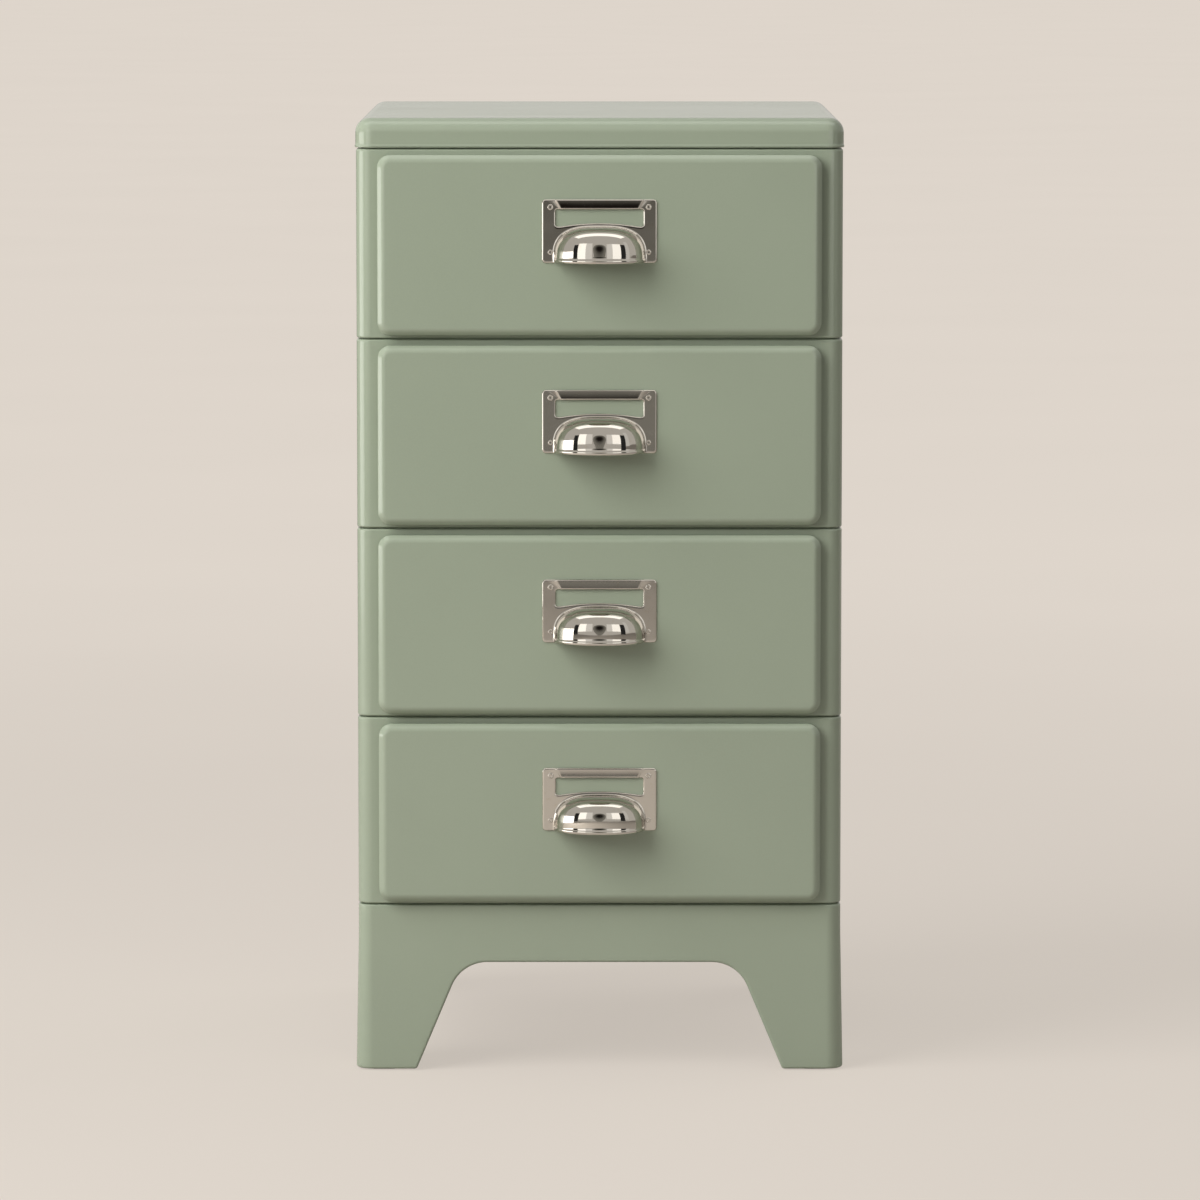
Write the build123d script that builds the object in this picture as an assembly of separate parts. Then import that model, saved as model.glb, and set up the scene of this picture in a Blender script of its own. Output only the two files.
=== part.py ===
"""Small steel drawer cabinet: four stacked drawer cases under a pressed lid, on a legged base.

Millimetres. +X is to the right, -Y is the front and +Z is up. Every shape is drawn about the middle of
the carcass in plan, with the floor at Z = 0. save() then moves it by CARCASS_Y, so that the origin is the
middle of the whole footprint, pulls included. Cases and drawers are numbered from the top.
"""

from build123d import *
from math import asin, cos, degrees, radians, sin, sqrt, tan
import os

# ---------------------------------------------------------------- driving dimensions
MODULES = 4
MODULE_HEIGHT = 132.5
LID_WIDTH, LID_DEPTH, LID_HEIGHT = 340.0, 380.0, 21.0
CASE_INSET = 0.5          # the cases stand this far inside the lid on every side
BASE_HEIGHT = 118.0
BASE_FLARE = 1.9          # the base grows this much on every side on the way down
FLARE_START = 98.0        # height at which the base begins to flare
SHEET = 1.0               # case and drawer front sheet
HEAVY_SHEET = 1.2         # lid, base, rails and pull plate
TRAY_SHEET = 0.8

CASE_CORNER, LID_CORNER = 10.0, 12.0     # upright corner radii in plan
LID_CROWN = 10.0                         # rolled top edge of the lid
LID_INNER_BEVEL = 6.5                    # inside of that edge
SEAM_BEVEL = 1.5                         # bevelled edges that meet in each seam
FLANGE = 15.0                            # width of the inturned flanges where the cases meet

FRONT_WIDTH, FRONT_HEIGHT = 309.0, 125.5
FRONT_DROP = 4.2          # from a case's top down to its drawer front
FRONT_PROUD = 10.0        # from the case face out to the drawer face
FRONT_GAP = 0.8           # between the case face and the back of the drawer front
FRONT_CORNER, FRONT_BEVEL = 9.0, 3.2
FRONT_INNER_BEVEL = 2.6   # inside of the front's bevelled edge
FRONT_LAND = 20.0         # inturned back flange of the drawer front

OPENING_WIDTH, OPENING_HEIGHT = 300.0, 112.0
OPENING_SILL = 10.0       # from a case's bottom up to its opening
STILE_RETURN, RAIL_RETURN = 26.0, 11.0   # how far the opening's edges turn back into the case
UPRIGHT_DEPTH = 32.0      # rear uprights that carry the runners

RUNNER_FLOOR = 13.0       # from a case's bottom up to the track inside its runners
RUNNER_HEIGHT = 21.3
RUNNER_REACH = 7.4        # width of the runner's channel
RUNNER_CLEAR = 2.5        # from the case face and back wall to the runner's ends
SLIDE_FLANGE = 16.8       # from the track up to the underside of the slide's flange
SLIDE_FOOT = 10.0         # the slide's leg under the tray
SLIDE_LIFT = 1.5          # from the track up to the underside of that leg
WEB_GAP = 6.8             # between the runner's web and the slide's web
SHOE_LENGTH, SHOE_WIDTH = 26.0, 6.2      # nylon shoes that the drawer glides on
SHOE_RAMP, SHOE_CLEAR = 3.0, 0.2         # bevelled lead-ins, and the gap to what slides past
SHOE_SLOT_LENGTH, SHOE_SLOT_HEIGHT = 14.0, 6.0
FRONT_SHOE_SETBACK = 5.0
REAR_SHOE_SETBACK = 30.0

TRAY_LENGTH, TRAY_TOP = 356.0, 112.0     # TRAY_TOP is above a case's bottom
TRAY_RIM = 6.0

PLATE_WIDTH, PLATE_HEIGHT, PLATE_CORNER = 80.0, 44.3, 2.6
PLATE_RAISE = 10.0        # middle of the plate above the middle of the drawer front
WINDOW_WIDTH, WINDOW_HEIGHT, WINDOW_CORNER = 61.0, 11.8, 1.6
WINDOW_RAISE = 9.2        # middle of the window above the middle of the plate
WINDOW_SPAN, WINDOW_RISE = 54.0, 2.3     # the window's lower edge arches up over the cup
BRIDGE_WIDTH, BRIDGE_LIFT, BRIDGE_SLOPE = 59.0, 1.0, 1.6

CUP_WIDTH, CUP_HEIGHT, CUP_REACH = 64.0, 24.5, 28.0
CUP_SHOULDER, CUP_TOP = 14.5, 90.0       # radii of its outline, at the shoulders and over the top
CUP_BEVEL = 7.6           # bevel that turns its front wall into its top
CUP_LIFT = 0.8            # the cup's edge above the plate's
CUP_WALL = 1.1

LEG_WIDTH = 42.4          # a leg's width at the floor, out to the flared corner
ARCH_HEIGHT = 76.6
ARCH_SLOPE = 22.8         # lean of the leg's inner edge, in degrees
ARCH_ROUND = 27.0
HEM = 8.0                 # inturned edge along the arches
FOOT_PAD, FOOT_PAD_CUT = 38.0, 12.0      # plate that closes each leg's foot, and its cut inner corner
GLIDE_WIDTH, GLIDE_CUT, GLIDE_HEIGHT = 26.0, 6.0, 1.0

# ---------------------------------------------------------------- worked out from those
CASE_WIDTH = LID_WIDTH - 2 * CASE_INSET
CASE_DEPTH = LID_DEPTH - 2 * CASE_INSET
FACE_Y = -CASE_DEPTH / 2                 # front face of the cases
BACK_Y = CASE_DEPTH / 2
STACK_TOP = BASE_HEIGHT + MODULES * MODULE_HEIGHT
OVERALL_HEIGHT = STACK_TOP + LID_HEIGHT

DRAWER_FACE_Y = FACE_Y - FRONT_PROUD
PLATE_FACE_Y = DRAWER_FACE_Y - HEAVY_SHEET
PULL_TIP_Y = PLATE_FACE_Y - CUP_REACH
CARCASS_Y = (-PULL_TIP_Y - (BACK_Y + BASE_FLARE)) / 2

WEB_X = OPENING_WIDTH / 2                        # outer face of the runner's web
TRACK_X = WEB_X - HEAVY_SHEET                    # its inner face
SLIDE_X = TRACK_X - WEB_GAP                      # outer face of the slide's web
TRAY_WIDTH = 2 * (SLIDE_X - HEAVY_SHEET)
TRAY_FLOOR = RUNNER_FLOOR + SLIDE_LIFT + HEAVY_SHEET
TRAY_FRONT_Y = FACE_Y - FRONT_GAP
TRAY_BACK_Y = TRAY_FRONT_Y + TRAY_LENGTH
FRONT_SHOE_Y = FACE_Y + RUNNER_CLEAR + FRONT_SHOE_SETBACK
REAR_SHOE_Y = TRAY_BACK_Y - REAR_SHOE_SETBACK - SHOE_LENGTH

SIDES = {"left": -1, "right": 1}


# ---------------------------------------------------------------- helpers
def save(shape, node):
    """Writes one node's STEP file in the part's own frame."""
    export_step(Pos(0, CARCASS_Y, 0) * shape, f"parts/{node}.step")


def case_bottom(number):
    """Height of the underside of case number 1 (top) to MODULES (bottom)."""
    return BASE_HEIGHT + (MODULES - number) * MODULE_HEIGHT


def block(x, y, z):
    """A box between pairs of limits on each axis."""
    return Pos((x[0] + x[1]) / 2, (y[0] + y[1]) / 2, (z[0] + z[1]) / 2) * Box(
        x[1] - x[0], y[1] - y[0], z[1] - z[0]
    )


def slab(width, depth, corner, low, high):
    """An upright prism with rounded corners in plan."""
    return Pos(0, 0, low) * extrude(RectangleRounded(width, depth, corner), high - low)


def folded_plan(width, depth, corner):
    """Inside of a folded sheet in plan: a rectangle whose corner arcs are drawn as three chords."""
    x, y = width / 2 - corner, depth / 2 - corner
    points = []
    for turn, (sx, sy) in enumerate(((1, 1), (-1, 1), (-1, -1), (1, -1))):
        for step in range(4):
            angle = radians(90 * turn + 30 * step)
            points.append((sx * x + corner * cos(angle), sy * y + corner * sin(angle)))
    return make_face(Polyline(*points, close=True))


def hollow_slab(width, depth, corner, low, high):
    """An upright prism that hollows out folded sheet."""
    return Pos(0, 0, low) * extrude(folded_plan(width, depth, corner), high - low)


def panel(width, height, corner, front_y, back_y, middle_z, middle_x=0.0):
    """A plate facing the front, with rounded corners in elevation."""
    outline = Plane.XZ.offset(-back_y) * Pos(middle_x, middle_z) * RectangleRounded(width, height, corner)
    return extrude(outline, back_y - front_y)


def flange_window(low, high):
    """What a pair of inturned flanges leaves open."""
    x, y = CASE_WIDTH / 2 - FLANGE, CASE_DEPTH / 2 - FLANGE
    return block((-x, x), (-y, y), (low, high))


# ---------------------------------------------------------------- carcass
def top_lid():
    """Pressed lid: rolled top edge, rounded corners and an inturned flange that rests on the top case."""
    low, high = STACK_TOP, OVERALL_HEIGHT
    body = slab(LID_WIDTH, LID_DEPTH, LID_CORNER, low, high)
    body = fillet(body.faces().sort_by(Axis.Z)[-1].edges(), LID_CROWN)
    body = chamfer(body.faces().sort_by(Axis.Z)[0].edges(), SEAM_BEVEL)
    hollow = hollow_slab(
        LID_WIDTH - 2 * HEAVY_SHEET,
        LID_DEPTH - 2 * HEAVY_SHEET,
        LID_CORNER - HEAVY_SHEET,
        low + HEAVY_SHEET,
        high - HEAVY_SHEET,
    )
    hollow = chamfer(hollow.faces().sort_by(Axis.Z)[-1].edges(), LID_INNER_BEVEL)
    return body - hollow - flange_window(low - 1, low + HEAVY_SHEET + 1)


def case(number):
    """One drawer case: wrapped walls, flanges above and below, a framed opening and rear uprights."""
    low = case_bottom(number)
    high = low + MODULE_HEIGHT
    shell = slab(CASE_WIDTH, CASE_DEPTH, CASE_CORNER, low, high)
    rims = shell.faces().sort_by(Axis.Z)
    shell = chamfer(rims[0].edges() + rims[-1].edges(), SEAM_BEVEL)
    inside = (CASE_WIDTH - 2 * SHEET, CASE_DEPTH - 2 * SHEET, CASE_CORNER - SHEET)
    shell -= hollow_slab(*inside, low + SHEET, high - SHEET)
    shell -= flange_window(high - SHEET - 1, high + 1)
    shell -= flange_window(low - 1, low + SHEET + 1)

    sill, head = low + OPENING_SILL, low + OPENING_SILL + OPENING_HEIGHT
    inner = FACE_Y + SHEET / 2
    rails = (inner, FACE_Y + RAIL_RETURN)
    uprights = (BACK_Y - UPRIGHT_DEPTH, BACK_Y - SHEET / 2)
    collar = block((-WEB_X - SHEET, WEB_X + SHEET), rails, (sill - SHEET, head + SHEET))
    for side in SIDES.values():
        stile = sorted((side * WEB_X, side * (WEB_X + SHEET)))
        collar += block(stile, (inner, FACE_Y + STILE_RETURN), (sill, head))
        collar += block(stile, uprights, (low + SHEET / 2, high - SHEET / 2))
    mouth = block((-WEB_X, WEB_X), (FACE_Y - 1, FACE_Y + STILE_RETURN), (sill, head))
    return shell + collar - mouth


def arch_outline(half_width):
    """Opening under an apron, seen square on: sloping leg edges that round into a level top."""
    foot_x = half_width + BASE_FLARE - LEG_WIDTH
    shoulder_x = foot_x - ARCH_HEIGHT * tan(radians(ARCH_SLOPE))
    flank = Polyline((-foot_x, 0), (-shoulder_x, ARCH_HEIGHT), (shoulder_x, ARCH_HEIGHT), (foot_x, 0))
    outline = make_face(flank + Line((foot_x, 0), (-foot_x, 0)))
    crown = outline.vertices().filter_by(lambda v: v.Y > ARCH_HEIGHT / 2)
    return fillet(crown, ARCH_ROUND)


def base_form(plan, inset, low, high):
    """The base's solid form, drawn in by inset: straight at the top, flared below FLARE_START."""
    flare = BASE_FLARE * (FLARE_START - low) / FLARE_START
    corner = CASE_CORNER - inset
    wide = (CASE_WIDTH - 2 * inset, CASE_DEPTH - 2 * inset)
    foot = Pos(0, 0, low) * plan(wide[0] + 2 * flare, wide[1] + 2 * flare, corner + flare)
    waist = Pos(0, 0, FLARE_START) * plan(*wide, corner)
    return loft([foot, waist], ruled=True) + extrude(waist, high - FLARE_START)


def base():
    """Legged base: a flared skirt with an arch in every side, hemmed edges and closed feet."""
    envelope = base_form(RectangleRounded, 0, GLIDE_HEIGHT, BASE_HEIGHT)
    envelope = chamfer(envelope.faces().sort_by(Axis.Z)[-1].edges(), SEAM_BEVEL)
    skirt = envelope - base_form(folded_plan, HEAVY_SHEET, GLIDE_HEIGHT, BASE_HEIGHT - HEAVY_SHEET)
    skirt -= flange_window(BASE_HEIGHT - HEAVY_SHEET - 1, BASE_HEIGHT + 1)

    reach = CASE_DEPTH
    hems = []
    half = (CASE_WIDTH / 2, CASE_DEPTH / 2)
    for half_width, half_depth, turn in ((*half, 0), (*half[::-1], 90)):
        outline = arch_outline(half_width)
        through = Rot(0, 0, turn) * extrude(Plane.XZ.offset(-reach) * outline, 2 * reach)
        rim = offset(outline, HEAVY_SHEET, kind=Kind.INTERSECTION)
        ring = extrude(Plane.XZ.offset(-reach) * rim, 2 * reach)
        keep = slab(2 * reach, 2 * (half_depth - HEM), 1, 0, BASE_HEIGHT)
        ring = Rot(0, 0, turn) * (ring - keep)
        hems.append((ring & envelope) - through)
        skirt -= through
    for hem in hems:
        skirt += hem

    feet = base_form(RectangleRounded, HEAVY_SHEET / 2, GLIDE_HEIGHT, BASE_HEIGHT - HEAVY_SHEET)
    for x, y in foot_places():
        pad = Pos(x, y, GLIDE_HEIGHT + HEAVY_SHEET / 2) * Box(FOOT_PAD, FOOT_PAD, HEAVY_SHEET)
        inner_corner = pad.edges().filter_by(Axis.Z).sort_by_distance((0, 0, 0))[0]
        skirt += chamfer(inner_corner, FOOT_PAD_CUT) & feet
    return skirt


def foot_places():
    """The middle of each foot pad in plan."""
    x = CASE_WIDTH / 2 + BASE_FLARE - HEAVY_SHEET / 2 - FOOT_PAD / 2
    y = CASE_DEPTH / 2 + BASE_FLARE - HEAVY_SHEET / 2 - FOOT_PAD / 2
    return [(sx * x, sy * y) for sx in (-1, 1) for sy in (-1, 1)]


def foot_glides():
    """A square plastic pad with cut corners under each leg, which keeps the sheet off the floor."""
    outline = chamfer(Rectangle(GLIDE_WIDTH, GLIDE_WIDTH).vertices(), GLIDE_CUT)
    return Compound(children=[Pos(x, y, 0) * extrude(outline, GLIDE_HEIGHT) for x, y in foot_places()])


# ---------------------------------------------------------------- runners, slides and shoes
def channel_run(points, front_y, back_y, low):
    """Bar along Y of the closed section through points, given as X and height above low."""
    section = make_face(Polyline(*points, close=True))
    return Pos(0, 0, low) * extrude(Plane.XZ.offset(-back_y) * section, back_y - front_y)


def to_side(shape, side):
    """The shape as drawn, on the right, or its mirror image on the left."""
    return shape if side > 0 else mirror(shape, about=Plane.YZ)


def case_runner(number, side):
    """Channel fixed to the opening's stile and the rear upright, open towards the drawer."""
    low = case_bottom(number) + RUNNER_FLOOR - HEAVY_SHEET
    tip, top = WEB_X - RUNNER_REACH, RUNNER_HEIGHT
    channel = channel_run(
        [
            (tip, 0),
            (WEB_X, 0),
            (WEB_X, top),
            (tip, top),
            (tip, top - HEAVY_SHEET),
            (TRACK_X, top - HEAVY_SHEET),
            (TRACK_X, HEAVY_SHEET),
            (tip, HEAVY_SHEET),
        ],
        FACE_Y + RUNNER_CLEAR,
        BACK_Y - RUNNER_CLEAR,
        low,
    )
    return to_side(channel, side)


def drawer_slide(number, side):
    """Folded slide: a leg under the tray, a web up its side and a flange that enters the runner."""
    low = case_bottom(number) + RUNNER_FLOOR
    inner, tip = SLIDE_X - HEAVY_SHEET, TRACK_X - 0.6
    top = SLIDE_FLANGE + HEAVY_SHEET
    slide = channel_run(
        [
            (inner - SLIDE_FOOT, SLIDE_LIFT),
            (SLIDE_X, SLIDE_LIFT),
            (SLIDE_X, SLIDE_FLANGE),
            (tip, SLIDE_FLANGE),
            (tip, top),
            (inner, top),
            (inner, SLIDE_LIFT + HEAVY_SHEET),
            (inner - SLIDE_FOOT, SLIDE_LIFT + HEAVY_SHEET),
        ],
        TRAY_FRONT_Y + 1,
        TRAY_BACK_Y,
        low,
    )
    return to_side(slide, side)


def shoe(x, front_y, z):
    """Nylon block with bevelled lead-ins and a slot, between the limits x and z."""
    outline = Rectangle(SHOE_LENGTH, z[1] - z[0])
    outline = chamfer(outline.vertices(), SHOE_RAMP) - Rectangle(SHOE_SLOT_LENGTH, SHOE_SLOT_HEIGHT)
    section = Plane.YZ.offset(x[0]) * Pos(front_y + SHOE_LENGTH / 2, (z[0] + z[1]) / 2) * outline
    return extrude(section, x[1] - x[0])


def front_shoes(number):
    """Shoes fixed in the mouths of the runners: the slides' flanges glide over them."""
    low = case_bottom(number) + RUNNER_FLOOR
    right = shoe((TRACK_X - SHOE_WIDTH, TRACK_X), FRONT_SHOE_Y, (low, low + SLIDE_FLANGE - SHOE_CLEAR))
    return Compound(children=[mirror(right, about=Plane.YZ), right])


def rear_shoes(number):
    """Shoes fixed under the slides' flanges near the back: they glide along the runners' tracks."""
    low = case_bottom(number) + RUNNER_FLOOR
    right = shoe((SLIDE_X, SLIDE_X + SHOE_WIDTH), REAR_SHOE_Y, (low + SHOE_CLEAR, low + SLIDE_FLANGE))
    return Compound(children=[mirror(right, about=Plane.YZ), right])


# ---------------------------------------------------------------- drawers
def front_middle(number):
    """Height of the middle of a drawer front."""
    return case_bottom(number) + MODULE_HEIGHT - FRONT_DROP - FRONT_HEIGHT / 2


def drawer_front(number):
    """Pressed pan with bevelled edges and an inturned back flange that the tray is welded to."""
    middle = front_middle(number)
    back_y = FACE_Y - FRONT_GAP - TRAY_SHEET
    pan = panel(FRONT_WIDTH, FRONT_HEIGHT, FRONT_CORNER, DRAWER_FACE_Y, back_y, middle)
    pan = chamfer(pan.faces().sort_by(Axis.Y)[0].edges(), FRONT_BEVEL)
    inside = folded_plan(FRONT_WIDTH - 2 * SHEET, FRONT_HEIGHT - 2 * SHEET, FRONT_CORNER - SHEET)
    hollow = extrude(
        Plane.XZ.offset(SHEET - back_y) * Pos(0, middle) * inside, back_y - DRAWER_FACE_Y - 2 * SHEET
    )
    hollow = chamfer(hollow.faces().sort_by(Axis.Y)[0].edges(), FRONT_INNER_BEVEL)
    half_width, half_height = FRONT_WIDTH / 2 - FRONT_LAND, FRONT_HEIGHT / 2 - FRONT_LAND
    mouth = block(
        (-half_width, half_width),
        (back_y - 2 * SHEET, back_y + 1),
        (middle - half_height, middle + half_height),
    )
    return pan - hollow - mouth


def drawer_tray(number):
    """Folded tray, open at the top, with an inturned rim."""
    low = case_bottom(number)
    front_y = TRAY_FRONT_Y - TRAY_SHEET

    def inset_block(inset, bottom, top):
        half = TRAY_WIDTH / 2 - inset
        return block((-half, half), (front_y + inset, TRAY_BACK_Y - inset), (low + bottom, low + top))

    tray = inset_block(0, TRAY_FLOOR, TRAY_TOP)
    tray -= inset_block(TRAY_SHEET, TRAY_FLOOR + TRAY_SHEET, TRAY_TOP - TRAY_SHEET)
    return tray - inset_block(TRAY_RIM, TRAY_TOP - 2 * TRAY_SHEET, TRAY_TOP + 1)


# ---------------------------------------------------------------- pulls
def plate_middle(number):
    """Height of the middle of a pull's plate."""
    return front_middle(number) + PLATE_RAISE


def pull_plate(number):
    """Plate with a card window, and over the window a raised bridge that the card slides in behind."""
    middle = plate_middle(number)
    plate = panel(PLATE_WIDTH, PLATE_HEIGHT, PLATE_CORNER, PLATE_FACE_Y, DRAWER_FACE_Y, middle)

    window_top = middle + WINDOW_RAISE + WINDOW_HEIGHT / 2
    plate_top = middle + PLATE_HEIGHT / 2
    half = BRIDGE_WIDTH / 2
    bridge = make_face(
        Polyline(
            (-half, PLATE_FACE_Y + 0.5),
            (-half, PLATE_FACE_Y),
            (-half + BRIDGE_SLOPE, PLATE_FACE_Y - BRIDGE_LIFT),
            (half - BRIDGE_SLOPE, PLATE_FACE_Y - BRIDGE_LIFT),
            (half, PLATE_FACE_Y),
            (half, PLATE_FACE_Y + 0.5),
            close=True,
        )
    )
    plate += Pos(0, 0, window_top) * extrude(bridge, plate_top - window_top)
    slot = (-half + 2 * BRIDGE_SLOPE, half - 2 * BRIDGE_SLOPE)
    behind = (DRAWER_FACE_Y - BRIDGE_LIFT, DRAWER_FACE_Y + 1)
    plate -= block(slot, behind, (window_top - 1, plate_top + 1))
    window_z = middle + WINDOW_RAISE
    window = panel(
        WINDOW_WIDTH, WINDOW_HEIGHT, WINDOW_CORNER, PLATE_FACE_Y - 0.5, DRAWER_FACE_Y + 1, window_z
    )
    sill, reach = window_z - WINDOW_HEIGHT / 2, WINDOW_SPAN / 2
    bow = ThreePointArc((-reach, sill), (0, sill + WINDOW_RISE), (reach, sill))
    under = Polyline((reach, sill), (reach, sill - 1), (-reach, sill - 1), (-reach, sill))
    over_cup = Plane.XZ.offset(-DRAWER_FACE_Y - 2) * make_face(bow + under)
    return plate - (window - extrude(over_cup, 5))


def arc_points(centre, radius, start, sweep):
    """Five points that divide an arc evenly, with its angles in degrees."""
    angles = [radians(start + sweep * step / 4) for step in range(5)]
    return [(centre[0] + radius * cos(a), centre[1] + radius * sin(a)) for a in angles]


def cup_arch(inset, chords):
    """Outline of the cup on the plate: upright sides, shoulder arcs and a flatter arc over the top.

    With chords, each arc is drawn as four of them.
    """
    half, height = CUP_WIDTH / 2 - inset, CUP_HEIGHT - inset
    shoulder, top = CUP_SHOULDER - inset, CUP_TOP - inset
    lean = degrees(asin((half - shoulder) / (top - shoulder)))
    side_top = height - top + (top - shoulder) * cos(radians(lean))
    arcs = [
        arc_points((half - shoulder, side_top), shoulder, 0, 90 - lean),
        arc_points((0, height - top), top, 90 - lean, 2 * lean),
        arc_points((shoulder - half, side_top), shoulder, 90 + lean, 90 - lean),
    ]
    outline = [Polyline(*points) if chords else ThreePointArc(*points[::2]) for points in arcs]
    return make_face(outline + [Polyline((-half, side_top), (-half, 0), (half, 0), (half, side_top))])


def cup_form(inset, chords=False):
    """The cup's solid form: its arch run forwards, met by a round front that is bevelled above.

    The front is made 1 mm higher than the arch, and its bevel so much longer, so that they cross cleanly.
    """
    radius = (CUP_WIDTH**2 / 4 + CUP_REACH**2) / (2 * CUP_REACH)
    plan = RegularPolygon(radius - inset, 24) if chords else Circle(radius - inset)
    front = Pos(0, radius - CUP_REACH, 0) * extrude(plan, CUP_HEIGHT - inset + 1)
    front = chamfer(front.faces().sort_by(Axis.Z)[-1].edges(), CUP_BEVEL - inset * (2 - sqrt(2)) + 1)
    return front & extrude(Plane.XZ * cup_arch(inset, chords), CUP_REACH)


def pull_cup(number):
    """Drawn cup, open below, its wall swept round from one end of the plate to the other.

    Its inside is drawn in chords, as inside the folded sheet.
    """
    bottom = plate_middle(number) - PLATE_HEIGHT / 2 + CUP_LIFT
    return Pos(0, PLATE_FACE_Y, bottom) * (cup_form(0) - cup_form(CUP_WALL, chords=True))


# ---------------------------------------------------------------- build
def main():
    os.makedirs("parts", exist_ok=True)
    save(top_lid(), "top_lid")
    save(base(), "base")
    save(foot_glides(), "foot_glides")
    for number in range(1, MODULES + 1):
        save(case(number), f"case_{number}")
        for name, side in SIDES.items():
            save(case_runner(number, side), f"case_runner_{name}_{number}")
            save(drawer_slide(number, side), f"drawer_slide_{name}_{number}")
        save(front_shoes(number), f"front_shoes_{number}")
        save(rear_shoes(number), f"rear_shoes_{number}")
        save(drawer_front(number), f"drawer_front_{number}")
        save(drawer_tray(number), f"drawer_tray_{number}")
        save(pull_plate(number), f"pull_plate_{number}")
        save(pull_cup(number), f"pull_cup_{number}")


main()
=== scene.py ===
"""Looks of a small steel drawer cabinet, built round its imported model.

Pressed sheet in sage green powder coat, polished nickel pulls, zinc plated runners and a plain
studio. Everything is in metres, the front faces -Y and +Z is up. Drawers are numbered from the top.
"""

from math import pi, radians

import bmesh
import bpy
import numpy as np
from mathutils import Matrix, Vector


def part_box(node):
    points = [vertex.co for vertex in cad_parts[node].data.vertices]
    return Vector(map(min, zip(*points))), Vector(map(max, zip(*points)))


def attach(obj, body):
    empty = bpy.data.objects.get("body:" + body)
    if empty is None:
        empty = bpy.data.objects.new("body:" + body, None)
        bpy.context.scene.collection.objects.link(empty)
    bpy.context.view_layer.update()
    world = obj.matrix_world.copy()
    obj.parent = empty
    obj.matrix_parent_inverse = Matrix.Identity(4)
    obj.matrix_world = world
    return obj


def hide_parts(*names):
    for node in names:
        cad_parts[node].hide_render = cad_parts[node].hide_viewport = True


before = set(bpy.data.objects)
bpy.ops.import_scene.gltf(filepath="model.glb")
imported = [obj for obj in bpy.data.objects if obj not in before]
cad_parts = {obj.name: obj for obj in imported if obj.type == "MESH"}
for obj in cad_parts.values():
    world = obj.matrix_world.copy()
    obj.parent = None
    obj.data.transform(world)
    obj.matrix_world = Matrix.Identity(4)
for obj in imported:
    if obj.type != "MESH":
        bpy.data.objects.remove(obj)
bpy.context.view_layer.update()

bl_info = {
    "name": "Steel Drawer Cabinet",
    "version": (1, 0, 0),
    "blender": (4, 5, 0),
    "location": "View3D > Sidebar > Cabinet",
    "description": "Builds the pressed sheet, pulls and studio of a small drawer cabinet",
    "category": "Add Mesh",
}

MM = 0.001
NUMBERS = range(1, 1 + sum(name.startswith("drawer_front_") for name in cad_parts))


def span(node):
    """Half width, half depth, middle Y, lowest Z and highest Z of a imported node."""
    low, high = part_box(node)
    return high.x, (high.y - low.y) / 2, (high.y + low.y) / 2, low.z, high.z


# ---- user's sizes and colours
def size(name, description, millimetres):
    value = millimetres * MM
    return bpy.props.FloatProperty(
        name=name, description=description, default=value, min=0.0, unit="LENGTH", precision=4
    )


def tint(name, description, colour):
    return bpy.props.FloatVectorProperty(
        name=name, description=description, default=colour, min=0.0, max=1.0, subtype="COLOR"
    )


def share(name, description, value):
    return bpy.props.FloatProperty(
        name=name, description=description, default=value, min=0.0, max=1.0, subtype="FACTOR"
    )


class CabinetSheet(bpy.types.PropertyGroup):
    """Sheet metal of the carcass and the drawers."""

    sheet: size("Sheet", "Thickness of the cases and drawer fronts", 1.0)
    heavy_sheet: size("Heavy sheet", "Thickness of the lid, base and pull plates", 1.2)
    tray_sheet: size("Tray sheet", "Thickness of the drawer trays", 0.8)
    lid_crown: size("Lid crown", "Radius of the lid's rolled top edge", 10.0)
    lid_corner: size("Lid corner", "Radius of the lid's upright corners", 12.0)
    case_corner: size("Case corner", "Radius of the cases' upright corners", 10.0)
    seam_bend: size("Seam bend", "Radius of the edges that meet in each seam", 1.2)
    seam_gap: size("Seam gap", "How far each flange is set down behind its bend", 0.5)
    bead: size("Bead", "How far the bead along the lid's lower edge stands out", 0.35)
    flange: size("Flange", "Width of the flanges where the cases meet", 15.0)
    front_corner: size("Front corner", "Radius of the drawer fronts' corners", 9.0)
    front_bevel: size("Front bevel", "Width of the sloping edge round a drawer front", 3.5)
    front_roll: size("Front roll", "Radius of the bend from the face into that slope", 5.0)
    front_bend: size("Front bend", "Radius of the bend behind that slope", 1.6)
    front_land: size("Front land", "Width of the drawer fronts' back flange", 20.0)
    opening_width: size("Opening width", "Clear width of a drawer opening", 300.0)
    opening_height: size("Opening height", "Clear height of a drawer opening", 112.0)
    opening_sill: size("Opening sill", "Height of an opening above its case's underside", 10.0)
    tray_rim: size("Tray rim", "Width of the trays' inturned rim", 6.0)


class CabinetBase(bpy.types.PropertyGroup):
    """The flared base, its arches and its feet."""

    flare: size("Flare", "How much the base grows on each side towards the floor", 1.9)
    flare_start: size("Flare start", "Height at which the flare begins", 98.0)
    leg_width: size("Leg width", "Width of a leg at the floor", 42.4)
    arch_height: size("Arch height", "Height of the arches above the floor", 76.6)
    arch_round: size("Arch rounding", "Radius of the arches' upper corners", 27.0)
    arch_slope: bpy.props.FloatProperty(
        name="Arch slope",
        description="Lean of the legs' inner edges",
        default=radians(22.8),
        subtype="ANGLE",
    )
    hem: size("Hem", "Depth of the inturned edge along the arches", 8.0)
    foot_pad: size("Foot pad", "Width of the plates inside the feet", 37.0)
    foot_pad_cut: size("Foot pad cut", "Cut across the inner corner of those plates", 12.0)


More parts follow.
